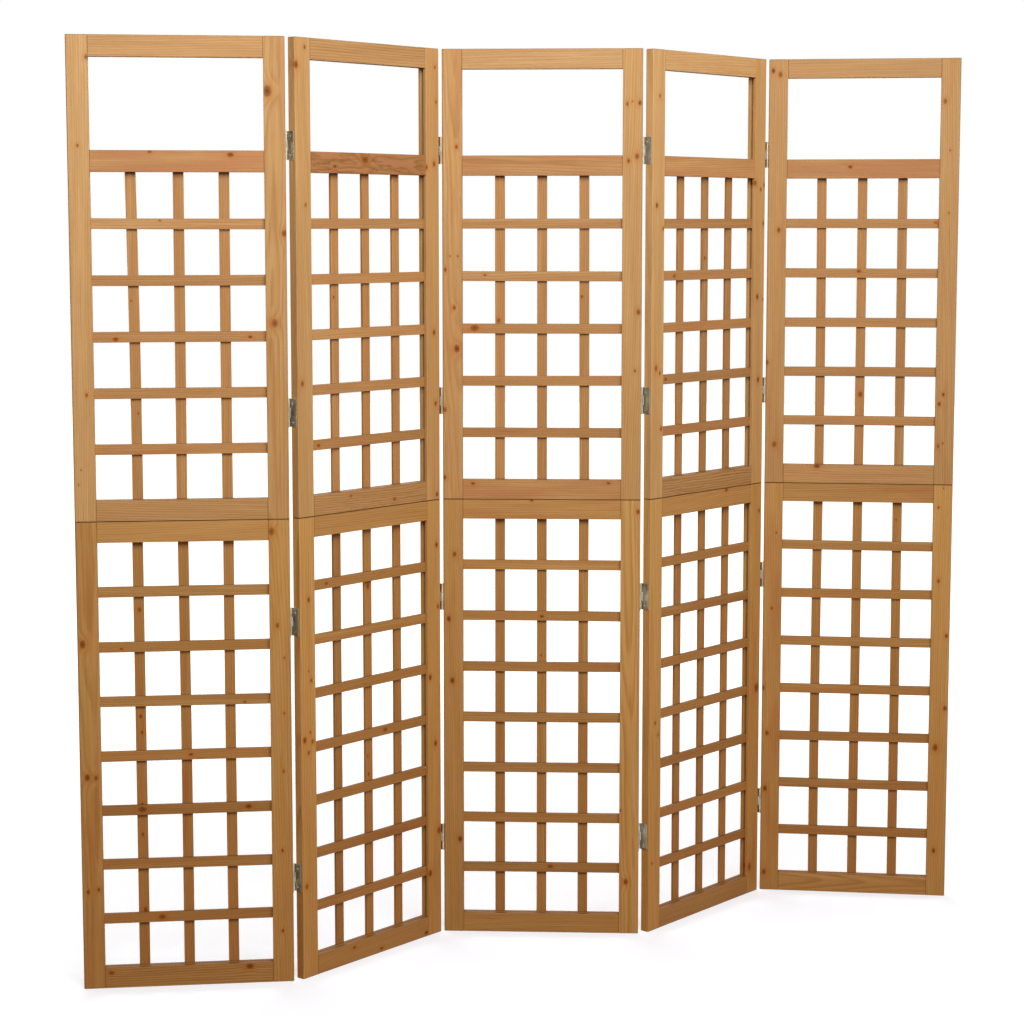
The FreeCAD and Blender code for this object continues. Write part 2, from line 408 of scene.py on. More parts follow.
print("each step of a board knows its", len(KNOT_MARKS), "nearest knots")

# %% [markdown]
# ## Shader maths in Python
#
# A finish is a sum of many small patterns. Written as a formula it stays readable, so a small
# class stands for one value in the node tree, and each operator on it adds a Math node.

# %% Shader values
class Value:
    """A number or vector in a shader. Arithmetic on it adds the nodes that work it out."""

    def __init__(self, shader, socket):
        self.shader = shader
        self.socket = socket

    def maths(self, operation, *values):
        return self.shader.node("ShaderNodeMath", {"operation": operation}, values)

    def __add__(self, other):
        return self.maths("ADD", self, other)

    def __sub__(self, other):
        return self.maths("SUBTRACT", self, other)

    def __rsub__(self, other):
        return self.maths("SUBTRACT", other, self)

    def __mul__(self, other):
        return self.maths("MULTIPLY", self, other)

    def __truediv__(self, other):
        return self.maths("DIVIDE", self, other)

    def __pow__(self, other):
        return self.maths("POWER", self, other)

    __radd__ = __add__
    __rmul__ = __mul__

    def least(self, other):
        return self.maths("MINIMUM", self, other)

    def most(self, other):
        return self.maths("MAXIMUM", self, other)

    def size(self):
        return self.maths("ABSOLUTE", self)

    def root(self):
        return self.maths("SQRT", self)

    def part(self):
        """What is left after the whole number, from 0 to 1."""
        return self.maths("FRACT", self)

    def hill(self, width):
        """1 where the value is 0, and near 0 beyond the width: exp of minus its square."""
        return self.maths("EXPONENT", (self / width) * (self / width) * -1)

    def step(self, low, high):
        """A smooth step from 0 at low to 1 at high."""
        settings = {"interpolation_type": "SMOOTHSTEP"}
        return self.shader.node("ShaderNodeMapRange", settings, (self, low, high))

    def parts(self):
        """The three numbers of a vector."""
        return [self.shader.node("ShaderNodeSeparateXYZ", {}, (self,), out=i) for i in range(3)]

    def scaled(self, x, y, z):
        """A vector with its numbers multiplied by these."""
        return self.shader.node("ShaderNodeVectorMath", {"operation": "MULTIPLY"}, (self, (x, y, z)))

    def noise(self, detail=2.0, roughness=0.5):
        """Soft noise from 0 to 1 at this place, its grains about one unit wide."""
        inputs = {"Vector": self, "Scale": 1.0, "Detail": detail, "Roughness": roughness}
        return self.shader.node("ShaderNodeTexNoise", {}, inputs)


class Shader:
    """A material whose nodes are added one by one."""

    def __init__(self, name):
        self.material = bpy.data.materials.new(name)
        self.material.use_nodes = True
        self.tree = self.material.node_tree
        self.surface = self.tree.nodes["Principled BSDF"]

    def node(self, kind, settings, inputs, out=0):
        """A node of this kind: its settings first, then its inputs, by order or by name."""
        node = self.tree.nodes.new(kind)
        for name, value in settings.items():
            setattr(node, name, value)
        pairs = inputs.items() if isinstance(inputs, dict) else enumerate(inputs)
        for key, value in pairs:
            self.feed(node.inputs[key], value)
        return Value(self, node.outputs[out])

    def feed(self, socket, value):
        """Links a value to a socket, or sets the socket to a plain number, vector or colour."""
        if isinstance(value, Value):
            self.tree.links.new(value.socket, socket)
        elif isinstance(value, tuple) and len(value) == 3 and socket.type == "RGBA":
            socket.default_value = value + (1.0,)
        else:
            socket.default_value = value

    def mark(self, name):
        """A mark that travels with the mesh."""
        return self.node("ShaderNodeAttribute", {"attribute_name": name}, (), out="Vector")

    def blend(self, factor, first, second, how="MIX"):
        """The first colour where the factor is 0 and the second where it is 1."""
        settings = {"data_type": "RGBA", "blend_type": how}
        return self.node("ShaderNodeMix", settings, {0: factor, 6: first, 7: second}, out=2)

    def bump(self, height, depth):
        """A normal from a height that runs from 0 to 1, over this depth in metres."""
        return self.node("ShaderNodeBump", {}, {"Strength": 1.0, "Distance": depth, "Height": height})

    def finish(self, **inputs):
        """Feeds the surface's sockets, named with _ for a space."""
        for name, value in inputs.items():
            self.feed(self.surface.inputs[name.replace("_", " ")], value)
        return self.material


def srgb(red, green, blue):
    """A colour as seen on a screen, 0 to 255, as the light that it stands for."""
    c = np.array([red, green, blue]) / 255
    return tuple(float(v) for v in np.where(c <= 0.04045, c / 12.92, ((c + 0.055) / 1.055) ** 2.4))


print("mid grey on a screen stands for this light:", np.round(srgb(128, 128, 128), 3))

# %% [markdown]
# ## Fir
#
# Softwood is built up in steps: pale early wood that darkens into a thin line of late wood every
# few millimetres, fine fibres along the board, slow changes of tone, and knots that push the rings
# aside. The rings are circles about the log's heart, r = sqrt(x * x + y * y), bent by slow noise,
# and the fraction of r / spacing says where in a ring the place is.

# %% Growth
# How many grains of a pattern fit in a metre, across and along the log
FIBRES = (1300, 1300, 24)
STREAKS = (260, 260, 4)
CLOUDS = (22, 22, 3.5)
RAGGED = (420, 420, 300)
RESIN = (420, 420, 8)
SLOW_BEND = (11, 11, 2.2)
QUICK_BEND = (60, 60, 9)
SPACING = (38, 38, 1.5)
HEARTWOOD = (46, 46, 5)
SAPWOOD = (34, 34, 1.3)
CURLY = (40, 40, 6)

RING = 4.4  # how far apart the rings are
KNOT_SLANT = 0.25  # a branch runs through the board at a slant
KNOT_HEIGHT = 0.7  # and is cut a little taller than wide
TINY = 0.00001


def knots(s, log, across, deep, along, thick):
    """The distance to the nearest knot, in its radii, and how far the knots push the rings."""
    near, push = None, None
    for name in KNOT_MARKS:
        side, up, radius = s.mark(name).parts()
        u = (across - side - (deep + thick) * KNOT_SLANT) / (radius + TINY)
        v = (along - up) / (radius + TINY) * KNOT_HEIGHT
        away = (u * u + v * v).root()
        bulge = radius * away.hill(2.6)
        near = away if near is None else near.least(away)
        push = bulge if push is None else push + bulge
    return near + (log.scaled(*RAGGED).noise(3) - 0.5) * 0.5, push


def late_wood(log, push, wild):
    """Where in its ring a place is, as a line: it rises slowly to 1, and ends where winter came."""
    x, y, _ = log.parts()
    slow = (log.scaled(*SLOW_BEND).noise(2) - 0.5) * 0.014
    quick = (log.scaled(*QUICK_BEND).noise(2) - 0.5) * (0.0022 + wild * 0.022)
    r = (x * x + y * y).root() + slow + quick + push * 1.1
    phase = (r / (RING * MM) + (log.scaled(*SPACING).noise(1) - 0.5) * 1.2).part()
    return phase.step(0.15, 0.86) ** 1.6 * (1 - phase.step(0.86, 1.0))


def knot_colours(s, colour, log, near):
    """A knot's warm halo, its fill, its dark rim and its core, laid over each other."""
    age = log.scaled(60, 60, 12).noise(1).step(0.35, 0.65) * 0.3 + 0.7
    colour = s.blend(near.hill(2.1) * 0.6, colour, srgb(184, 110, 42))
    colour = s.blend((1 - near.step(0.5, 1.25)) * age * 0.9, colour, srgb(136, 78, 20))
    colour = s.blend((near - 0.9).hill(0.28) * age * 0.5, colour, srgb(98, 52, 10))
    return s.blend((1 - near.step(0.1, 0.7)) * age * 0.9, colour, srgb(92, 48, 4))


print("a stile shows about", round(TIMBER / RING), "growth rings")

# %% [markdown]
# ## Oil, wear and painted shade
#
# Ends and arrises take up more finish, so they are a little darker, and rubbed corners are a little
# paler, partly as wear and partly as a painted highlight on the rounded edges. Where an upper frame
# stands on a lower one, a painted shadow draws a dark line between the two. The standing frames
# are painted darker and redder towards their feet, and darker on all that faces up, as painted shade.

# %% Wood
# painted shade: the standing frames are darker and redder towards their feet, fading out between these
# heights
FOOT_SHADE = (0.97, 0.9, 0.84)
FOOT_SHADE_ENDS = (0.1, 0.8)  # metres above the floor


def seam_shadow_ends_and_edge_sheen(s, colour, log, height, across, deep, along, half):
    """Paints a shadow along the seam between the frames, darkens the boards' ends, and rubs their arrises
    pale, partly as wear and partly as a painted highlight.
    """
    wide, thick, long = half
    # painted shadow: a dark line where the upper frame stands on the lower one
    seam_shadow = 1 - (height - HALF * MM).size().step(0.0003, 0.0017)
    colour = s.blend(seam_shadow * 0.85, colour, srgb(56, 34, 16))
    end = long - along.size()
    colour = s.blend((1 - end.step(0.0003, 0.0022)) * 0.4, colour, srgb(118, 76, 36))
    # the rubbed arrises' paleness is partly wear and partly a painted highlight along the rounded edges
    edge = wide + thick - across.size() - deep.size()
    rubbed_and_highlit = (1 - edge.step(0.0002, 0.0022)) * log.scaled(90, 90, 14).noise(2).step(0.35, 0.75)
    return s.blend(rubbed_and_highlit * 0.25, colour, srgb(216, 178, 124))


def toned_with_painted_shade(s, colour, height, shade):
    """The board's own depth of colour, its half's painted shade, and painted shade on all that faces up and
    towards the foot.
    """
    level = s.node("ShaderNodeCombineXYZ", {}, (shade, shade, shade))
    colour = s.blend(1.0, colour, level, "MULTIPLY")
    # the half's painted shade, darker and warmer in the lower half
    colour = s.blend(1.0, colour, s.mark("stain"), "MULTIPLY")
    # painted shade: all that faces up is darkened
    _, _, up = s.node("ShaderNodeNewGeometry", {}, (), out="Normal").parts()
    colour = s.blend(up.step(0.3, 0.9) * 0.75, colour, srgb(84, 50, 20))
    # painted shade, darker and redder towards the foot
    foot = s.blend(height.step(*FOOT_SHADE_ENDS), FOOT_SHADE, (1.0, 1.0, 1.0))
    return s.blend(1.0, colour, foot, "MULTIPLY")


def wood(name, early, late, warm):
    """Fir with these colours of early wood, late wood and heartwood."""
    s = Shader(name)
    log = s.mark("log")
    across, deep, along = s.mark("here").parts()
    half = s.mark("half").parts()
    light, red, strong = s.mark("tone").parts()
    _, _, height = s.node("ShaderNodeTexCoord", {}, (), out="Object").parts()

    wild = (strong - 1).most(0)
    near, push = knots(s, log, across, deep, along, half[1])
    line = late_wood(log, push, wild)
    fibre = log.scaled(*FIBRES).noise(5, 0.7)
    streak = log.scaled(*STREAKS).noise(3, 0.55)
    cloud = log.scaled(*CLOUDS).noise(2)

    sap = (log.scaled(*SAPWOOD).noise(2) - red * 0.35).step(0.5, 0.72)
    colour = s.blend(sap * 0.55, early, srgb(212, 178, 126))
    heart = (log.scaled(*HEARTWOOD).noise(3) + red * 0.6).step(0.6, 0.92)
    colour = s.blend(heart * 0.8, colour, warm)
    grain = line * 0.5 * strong + (streak - 0.5) * 0.8 + (fibre - 0.5) * 0.8 + 0.28
    colour = s.blend(grain.most(0).least(1), colour, late)
    resin = log.scaled(*RESIN).noise(2).step(0.69, 0.78)
    colour = s.blend(resin * 0.45, colour, srgb(126, 78, 36))
    curl = (log.scaled(*CURLY).noise(3, 0.6) - 0.5).hill(0.012) * wild
    colour = s.blend(curl.least(0.5), colour, srgb(118, 66, 36))
    colour = knot_colours(s, colour, log, near)
    colour = seam_shadow_ends_and_edge_sheen(s, colour, log, height, across, deep, along, half)
    colour = toned_with_painted_shade(s, colour, height, light * (0.92 + cloud * 0.16))

    rough = 0.5 + fibre * 0.12 - line * 0.06 + (cloud - 0.5) * 0.1
    relief = 0.5 + (fibre - 0.5) * 0.5 + (streak - 0.5) * 0.3 - line * 0.25
    return s.finish(Base_Color=colour, Roughness=rough, Normal=s.bump(relief, 0.14 * MM),
                    Specular_IOR_Level=0.2)


OILED = {
    "stile_wood": wood("stile_wood", srgb(202, 161, 105), srgb(162, 116, 62), srgb(192, 132, 84)),
    "rail_wood": wood("rail_wood", srgb(200, 158, 105), srgb(158, 112, 62), srgb(190, 128, 86)),
    "horizontal_slat_wood": wood("horizontal_slat_wood", srgb(188, 143, 92), srgb(150, 104, 57),
                                 srgb(180, 120, 76)),
    "vertical_slat_wood": wood("vertical_slat_wood", srgb(189, 143, 89), srgb(150, 101, 52),
                               srgb(180, 115, 68)),
    "dowel_wood": wood("dowel_wood", srgb(222, 190, 146), srgb(196, 156, 108), srgb(214, 170, 130)),
}
print("wood finishes:", ", ".join(OILED))

# %% [markdown]
# ## Knots and tones
#
# A knot is where a branch ran through the board, so its place is what makes each board itself.
# They were noted from the photograph, as (side, along, radius) in millimetres from a
# board's lower left corner, for each (panel, board). Boards that aren't in the table are clear.
#
# Tones are (lightness, redness, how strongly the rings show). The two halves of a panel come from
# different logs, and some rails are heartwood, which is redder.

# %% What is known of single boards
KNOTS = {
    ("stiles", "upper"): {
        (1, 0): ((19, 698, 1.9), (27, 238, 2.3), (38, 859, 3), (14, 98, 1.1), (9, 70, 1.1)),
        (1, 1): ((16, 370, 5), (7, 799, 6.5), (36, 537, 4.2)),
        (2, 0): ((12, 255, 3.5), (25, 590, 2.2), (4, 849, 4.5), (26, 882, 2.4)),
        (2, 1): ((29, 11, 3), (26, 195, 3), (22, 338, 3.4), (24, 673, 3.5), (30, 795, 2.2), (27, 863, 2.2),
                 (2, 666, 3)),
        (3, 0): ((4, 44, 2.8), (4, 182, 3.5), (29, 305, 5), (24, 387, 3), (6, 463, 2.6), (16, 490, 1.1),
                 (31, 490, 1.3), (29, 707, 2.6)),
        (3, 1): ((27, 261, 2), (33, 379, 3.5), (12, 679, 3), (29, 688, 3.8), (9, 791, 2.4), (19, 796, 1.3),
                 (34, 793, 3)),
        (4, 0): ((15, 265, 4), (27, 255, 2.8), (14, 591, 3.4), (22, 808, 2.5), (33, 141, 2.8),
                 (36, 545, 2.4)),
        (4, 1): ((20, 223, 3.8), (13, 400, 3.8), (36, 394, 2.5), (33, 555, 3), (22, 627, 2.5),
                 (35, 636, 2.8), (2, 640, 3.8)),
        (5, 0): ((20, 83, 4), (2, 259, 3.4), (24, 541, 3.4), (9, 876, 3.4), (24, 868, 3.8)),
        (5, 1): ((8, 173, 3), (16, 193, 2.6), (7, 83, 2.2), (17, 89, 1.4), (20, 577, 1.4), (20, 708, 1.5),
                 (8, 810, 3.5)),
    },
    ("stiles", "lower"): {
        (1, 0): ((11, 190, 2.6), (31, 194, 2.2), (14, 412, 4.2), (30, 411, 3), (10, 668, 4.8)),
        (1, 1): ((19, 101, 2.5), (20, 259, 2.4), (24, 414, 2), (26, 527, 1.5), (27, 634, 1.5),
                 (15, 697, 3.2), (6, 877, 4.8)),
        (2, 0): ((11, 182, 3.4), (9, 470, 4), (19, 444, 2.8), (24, 483, 2), (30, 464, 3), (28, 584, 2.7),
                 (21, 603, 1.4), (23, 741, 3)),
        (2, 1): ((5, 130, 4.6), (32, 215, 4.6), (22, 399, 3.8), (7, 538, 3.8), (31, 681, 3),
                 (27, 808, 3.4)),
        (3, 0): ((33, 195, 3.8), (18, 526, 4), (11, 654, 3.8), (23, 787, 3.4)),
        (3, 1): ((14, 109, 4), (35, 876, 3.2), (2, 259, 2)),
        (4, 0): ((12, 143, 2), (30, 410, 2.2), (20, 436, 2.6)),
        (4, 1): ((27, 453, 6.5), (8, 58, 5.4), (29, 840, 3)),
        (5, 0): ((9, 40, 4), (9, 227, 3.8), (12, 350, 3.4), (2, 450, 3.4), (19, 626, 2), (27, 791, 1.5)),
        (5, 1): ((15, 100, 3.4), (14, 328, 4.8), (33, 415, 3.4), (33, 573, 3), (14, 692, 2.8), (11, 851, 2),
                 (21, 893, 1.3)),
    },
    ("rails", "upper"): {
        (1, 1): ((37, 110, 2.5), (32, 258, 3.8)),
        (2, 0): ((30, 100, 2), (13, 224, 2.6)),
        (2, 1): ((27, 147, 5.5), (13, 64, 2.6)),
        (3, 0): ((32, 21, 2.6), (34, 295, 2.4)),
        (5, 0): ((37, 72, 4.2),),
        (5, 1): ((24, 133, 3),),
    },
    ("rails", "lower"): {
        (1, 0): ((33, 275, 4.6), (30, 12, 3.6)),
        (2, 0): ((29, 101, 2.8), (8, 179, 2.8), (8, 312, 3.6)),
        (3, 1): ((38, 140, 2.2),),
        (4, 1): ((36, 226, 3.6),),
    },
    ("level", "upper"): {
        (1, 2): ((6, 49, 3.4), (9, 298, 2.4)),
        (1, 4): ((16, 134, 1.5),),
        (2, 0): ((9, 28, 3),),
        (3, 2): ((11, 32, 5.4),),
        (3, 3): ((12, 53, 2),),
        (4, 1): ((10, 25, 2.8),),
        (4, 3): ((9, 52, 3.2),),
        (5, 3): ((14, 162, 3.2),),
        (5, 4): ((12, 321, 2.4),),
    },
    ("level", "lower"): {
        (1, 0): ((10, 117, 4.2),),
        (1, 2): ((11, 83, 5), (11, 284, 3.8)),
        (1, 3): ((10, 176, 2.8),),
        (1, 4): ((5, 279, 1.9),),
        (1, 5): ((7, 49, 2),),
        (2, 3): ((11, 208, 3.8),),
        (2, 6): ((10, 46, 2.4),),
        (3, 0): ((12, 186, 3.8),),
        (3, 5): ((9, 168, 2.8),),
    },
    ("upright", "upper"): {
        (1, 0): ((14, 162, 1.6), (5, 372, 1.4)),
        (2, 0): ((6, 375, 2),),
        (3, 0): ((7, 321, 3.6),),
        (3, 2): ((5, 369, 2.4),),
        (4, 1): ((8, 444, 2.8),),
        (5, 1): ((11, 151, 4), (8, 414, 3.2)),
    },
    ("upright", "lower"): {
        (1, 0): ((13, 108, 3), (10, 256, 2.5), (10, 309, 5), (12, 454, 2.4), (10, 485, 2.5),
                 (11, 690, 3.2)),
        (1, 1): ((14, 413, 2.8),),
        (2, 1): ((8, 327, 3), (6, 363, 2.4), (9, 705, 4.4)),
        (3, 1): ((9, 538, 1.6), (9, 612, 2)),
        (5, 2): ((8, 782, 1.6),),
    },
}
TONES = {
    ("stiles", "upper"): {
        1: ((1.0, -0.3, 0.5), (0.91, 0.2, 0.7)),
        2: ((0.89, -0.35, 0.4), (0.94, 0.0, 0.5)),
        3: ((0.93, 0.25, 0.6), (0.92, 0.0, 0.6)),
        4: ((1.0, -0.7, 0.35), (1.0, -0.3, 0.45)),
        5: ((0.87, 0.15, 0.6), (0.89, 0.18, 0.6)),
    },
    ("stiles", "lower"): {
        1: ((0.94, 0.28, 0.7), (0.96, 0.18, 0.6)),
        2: ((1.05, -0.4, 0.9), (1.0, 0.08, 0.5)),
        3: ((0.88, 0.1, 0.5), (1.06, -0.3, 0.8)),
        4: ((1.07, 0.0, 0.5), (1.01, 0.2, 0.6)),
        5: ((0.92, 0.3, 0.5), (1.04, 0.0, 0.6)),
    },
    ("rails", "upper"): {
        1: ((0.96, 0.0, 0.9), (0.93, 0.45, 0.4), (0.94, -0.1, 0.6)),
        2: ((0.9, 0.15, 1.2), (0.8, 0.7, 1.5), (0.85, 0.0, 0.8)),
        3: ((0.98, 0.45, 0.8), (0.93, 0.46, 0.8), (0.92, -0.3, 0.5)),
        4: ((0.86, 0.12, 1.3), (1.0, 0.36, 0.7), (1.04, -0.7, 0.5)),
        5: ((0.96, 0.2, 0.7), (0.87, 0.6, 0.4), (0.88, 0.05, 0.5)),
    },
    ("rails", "lower"): {
        1: ((0.9, 0.0, 1.1), (0.99, 0.2, 0.6)),
        2: ((0.9, 0.05, 0.7), (0.93, 0.1, 0.8)),
        3: ((0.93, 0.05, 0.5), (0.97, 0.28, 0.7)),
        4: ((0.86, 0.15, 0.8), (0.96, 0.2, 0.7)),
        5: ((1.01, 0.0, 0.8), (0.9, 0.3, 0.8)),
    },
}
FLAT_SAWN = {("stiles", 1, "upper", 1), ("stiles", 1, "lower", 0), ("stiles", 3, "lower", 1),
             ("stiles", 3, "upper", 0), ("stiles", 4, "lower", 0), ("rails", 5, "lower", 0),
             ("rails", 2, "upper", 1), ("rails", 3, "upper", 1)}
LEANS = {("upright", 1, "upper", 0): (-4.0, 1.2), ("upright", 5, "upper", 0): (-2.0, 0.6)}
boards = [knots for group in KNOTS.values() for knots in group.values()]
print(sum(len(knots) for knots in boards), "knots in", len(boards), "boards")

# %% [markdown]
# ## The layout of a panel
#
# Both halves are made alike: stiles at the sides, rails between them, and slats spread evenly over
# what is left, three upright ones in each half and five or seven level ones. The upper half has
# one rail more, which leaves the window open. Each half has a tint for all its boards, and a
# lightness for those that the tables leave open: the lower half is painted darker and warmer, and
# the upper one a touch cooler, as painted shade that deepens towards the floor.

# %% Layout
UPRIGHT_SLATS = 3
# each half's tint and lightness are painted shade: the lower half darker and warmer, the upper one a touch
# cooler
HALVES = {
    "lower": {"base": 0, "rails": (0, HALF - TIMBER), "slats": 7, "stain": (0.98, 0.95, 0.82),
              "light": 0.94},
    "upper": {"base": HALF, "rails": (HALF, 2 * HALF - 2 * TIMBER - WINDOW, 2 * HALF - TIMBER),
              "slats": 5, "stain": (1.0, 1.0, 1.04), "light": 0.98},
}


def spread_slats(low, high, count):
    """Where slats begin: with equal gaps g between low and high, at low + g + i * (g + width)."""
    gap = (high - low - count * SLAT) / (count + 1)
    return [low + gap + i * (gap + SLAT) for i in range(count)]


def levels(half):
    """Heights of the lower edges of a half's level slats, which lie between its lower two rails."""
    return spread_slats(half["rails"][0] + TIMBER, half["rails"][1], half["slats"])


UPRIGHTS = spread_slats(TIMBER, WIDTH - TIMBER, UPRIGHT_SLATS)
print("upright slats begin at", UPRIGHTS, "and the lower half's level ones at", levels(HALVES["lower"]))

# %% [markdown]
# ## The boards of a panel
#
# The stiles are grooved on their inner edges, the rails have stub tenons, the level slats have
# their ends in the grooves, and the upright slats are fixed on behind. The lowest rail's groove
# faces up, and those of the others face down. Random numbers fill in what the tables leave open,
# and each board has a seed of its own, so a change to one board leaves the others as they were.

# %% Building the panels
SLAT_PLAY = 0.01
SLAT_EASE = 0.6
KIND_SEEDS = {"stiles": 1, "rails": 2, "level": 3, "upright": 4}


def add_board(shell, kind, panel, name, i, box, spread=None, **shape):
    """One board of a panel, with all that the tables or its own random numbers say about it.

    Slats have a spread, in millimetres: they lean by about that much, and bow by half of it.
    """
    key = (kind, panel, name, i)
    half = HALVES[name]
    rng = np.random.default_rng([KIND_SEEDS[kind], panel, int(half["base"]), i])
    guess = (rng.normal(half["light"], 0.045), rng.normal(0.06, 0.12), 0.7)
    tones = TONES.get((kind, name))
    tone = tones[panel][i] if tones else guess
    bow = (rng.normal(0, spread), rng.normal(0, spread / 2)) if spread else (0.0, 0.0)
    board(shell, panel, box, np.array(tone), rng, bow=LEANS.get(key, bow), flat=key in FLAT_SAWN,
          knots=KNOTS.get((kind, name), {}).get((panel, i), ()), stain=half["stain"], **shape)


def stiles(shell, panel, name, half):
    """The left and the right stile of a half, each as high as the half."""
    z = (half["base"], half["base"] + HALF)
    for side, x in enumerate(((0, TIMBER), (WIDTH - TIMBER, WIDTH))):
        add_board(shell, "stiles", panel, name, side, (*x, 0, THICK, *z), steps=10, corners=grooved,
                  ease=STILE_EASE, flip=side == 1)


def rails(shell, panel, name, half):
    """Rails between the stiles, whose tenons go beyond the box."""
    for i, z in enumerate(half["rails"]):
        add_board(shell, "rails", panel, name, i, (TIMBER, WIDTH - TIMBER, 0, THICK, z, z + TIMBER),
                  corners=grooved, ease=RAIL_EASE, flip=i == 0, tenon=TENON)


def level_slats(shell, panel, name, half):
    """Slats whose ends lie as deep in the stiles' grooves as the tenons do."""
    end = TIMBER - TENON
    for i, z in enumerate(levels(half)):
        box = (end, WIDTH - end, GROOVE[0] + SLAT_PLAY, GROOVE[1] - SLAT_PLAY, z, z + SLAT)
        add_board(shell, "level", panel, name, i, box, spread=0.5, ease=SLAT_EASE)


def upright_slats(shell, panel, name, half):
    """Slats from rail to rail, against the backs of the level ones."""
    low = half["rails"][0] + TIMBER
    for i, x in enumerate(UPRIGHTS):
        box = (x, x + SLAT, GROOVE[1], GROOVE[1] + SLAT_THICK, low, half["rails"][1])
        add_board(shell, "upright", panel, name, i, box, spread=0.8, ease=SLAT_EASE, steps=6)


KINDS = {
    "stiles": (stiles, "stile_wood"),
    "rails": (rails, "rail_wood"),
    "horizontal_slats": (level_slats, "horizontal_slat_wood"),
    "vertical_slats": (upright_slats, "vertical_slat_wood"),
}
for panel in PANELS:
    for name, half in HALVES.items():
        for kind, (make, slot) in KINDS.items():
            shell = Shell()
            make(shell, panel, name, half)
            shell.piece(f"timber_{panel}_{name}_{kind}", f"panel_{panel}",
                        [f"panel_{panel}_{name}_{kind}"], slot, OILED[slot])
print(len(PANELS) * len(HALVES), "frames, each with", ", ".join(KINDS))

# %% [markdown]
# ## Dowels
#
# Two plain dowels keep an upper frame in line with the lower one. Nobody sees them unless the
# screen is taken apart, so a round bar with eased ends is enough.

# %% Dowels
DOWEL_RADIUS = 4.0
DOWEL_LENGTH = 60.0
DOWEL_PLAY = 0.3
DOWEL_EASE = (0.7, 1.2)  # how much its ends are drawn in, and over what length


def circle(radius, count):
    """Points round a circle, anticlockwise, of shape (count, 2)."""
    t = np.arange(count) / count * 2 * np.pi
    return radius * np.stack([np.cos(t), np.sin(t)], -1)


def turned_bar(profile, count):
    """Rings of a bar turned about the z axis, from (radius, height) pairs."""
    ring = circle(1.0, count)
    return np.array([np.column_stack([ring * r, np.full(count, z)]) for r, z in profile])


for panel, foot in PANELS.items():
    shell = Shell()
    for i, x in enumerate(((TIMBER - GROOVE_DEPTH) / 2, WIDTH - (TIMBER - GROOVE_DEPTH) / 2)):
        rng = np.random.default_rng(panel * 40 + i)
        h, r = DOWEL_LENGTH / 2, DOWEL_RADIUS - DOWEL_PLAY
        slimmer, e = DOWEL_EASE
        bar = turned_bar([(r - slimmer, -h), (r, e - h), (r, h - e), (r - slimmer, h)], 12)
        marks = {"here": bar * MM, "half": np.array([r, r, h]) * MM,
                 "log": in_log(bar, sawn(rng, False)) * MM, "tone": np.array([1.0, 0.0, 0.6]),
                 "stain": np.ones(3)}
        clear = {mark: np.full((len(bar) - 1, 3), FAR_AWAY[1] * MM) for mark in KNOT_MARKS}
        shell.loft(stand(bar + [x, THICK / 2, HALF], *foot), marks=marks, face_marks=clear)
    shell.piece(f"dowels_{panel}", f"panel_{panel}", [f"panel_{panel}_dowels"], "dowel_wood",
                OILED["dowel_wood"])

# %% [markdown]
# ## Hinge steel
#
# The hinges are pressed from zinc-plated sheet: grey with a faint olive cast, bright where the
# light catches a flat, with rolling marks along the leaf and dull patches. Metal needs almost
# nothing but a roughness that changes.

# %% Steel
def steel(name, bright, dull, rough):
    """Plated steel in two greys, with fine vertical rolling marks."""
    s = Shader(name)
    place = s.node("ShaderNodeTexCoord", {}, (), out="Object")
    marks = place.scaled(1500, 1500, 30).noise(2)
    patch = place.scaled(110, 110, 45).noise(3, 0.5).step(0.35, 0.65)
    colour = s.blend(patch, bright, dull)
    colour = s.blend(marks * 0.35, colour, srgb(128, 120, 104))
    roughness = rough + patch * 0.18 + (marks - 0.5) * 0.2
    return s.finish(Base_Color=colour, Metallic=1.0, Roughness=roughness, Normal=s.bump(marks, 0.00001))


PLATED = steel("hinge_steel", srgb(208, 202, 186), srgb(160, 152, 134), 0.24)
PIN_STEEL = steel("pin_steel", srgb(214, 210, 200), srgb(172, 168, 156), 0.2)
print("plated finishes:", PLATED.name, PIN_STEEL.name)

# %% [markdown]
# ## Staples
#
# Behind each crossing of two slats a staple holds the upright one, shot in slantwise so that it
# doesn't split the wood. Only its crown shows, from the back. A staple is a flat wire carried
# round a U, and there are so many of them that each has only a few faces.

# %% Staples
CROWN = 5.0  # half of its length
LEG = 2.5
CORNER = 0.4
WIRE = (0.6, 0.28)  # half of its width and of its thickness
SUNK = 0.03
BACK_OF_SLAT = GROOVE[1] + SLAT_THICK


def staple(slant):
    """A wire of this flat section along a U: up a leg, round a corner, across and down again."""
    u, e = CROWN, CORNER
    path = np.array([[-u, -LEG], [-u, -e], [-u + e, 0.0], [u - e, 0.0], [u, -e], [u, -LEG]])
    ahead = np.gradient(path, axis=0)
    ahead /= np.linalg.norm(ahead, axis=1, keepdims=True)
    side = np.stack([-ahead[:, 1], ahead[:, 0]], -1)
    section = rectangle(*WIRE)
    flat = path[:, None] + side[:, None] * section[None, :, 1:]
    across = np.broadcast_to(section[:, 0], flat.shape[:2])
    c, s = np.cos(slant), np.sin(slant)
    x, y = flat[..., 0], flat[..., 1]
    return np.stack([x * c - across * s, y - SUNK, x * s + across * c], -1)


